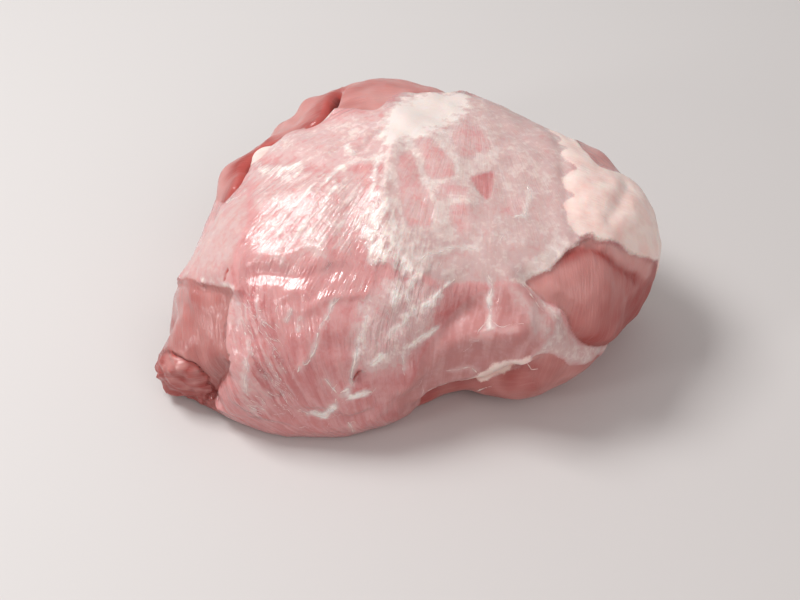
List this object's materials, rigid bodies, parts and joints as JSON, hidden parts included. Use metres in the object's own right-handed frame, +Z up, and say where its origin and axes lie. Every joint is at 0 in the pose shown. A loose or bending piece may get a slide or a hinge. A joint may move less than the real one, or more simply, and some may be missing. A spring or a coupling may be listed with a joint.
{
  "type": "pork shoulder roast",
  "caption": "Raw boneless pork shoulder roast: one domed piece of meat with muscle bellies, folds, a fat pad and fascia, resting on its flat side.",
  "frame": {"origin": "middle of the bottom of the bounding box, on the flat side that the roast rests on", "axes": "+Z up; +X along the longest side of the roast, to the right as it is seen in the picture; +Y away from that viewer"},
  "size_m": [0.2015, 0.1644, 0.0853],
  "materials": {
    "raw_pork": "wet raw pork: pink muscle under pale glossy fascia, with patches of cream fat"
  },
  "bodies": {
    "root": {"pork_shoulder": "raw_pork"}
  },
  "joints": []
}
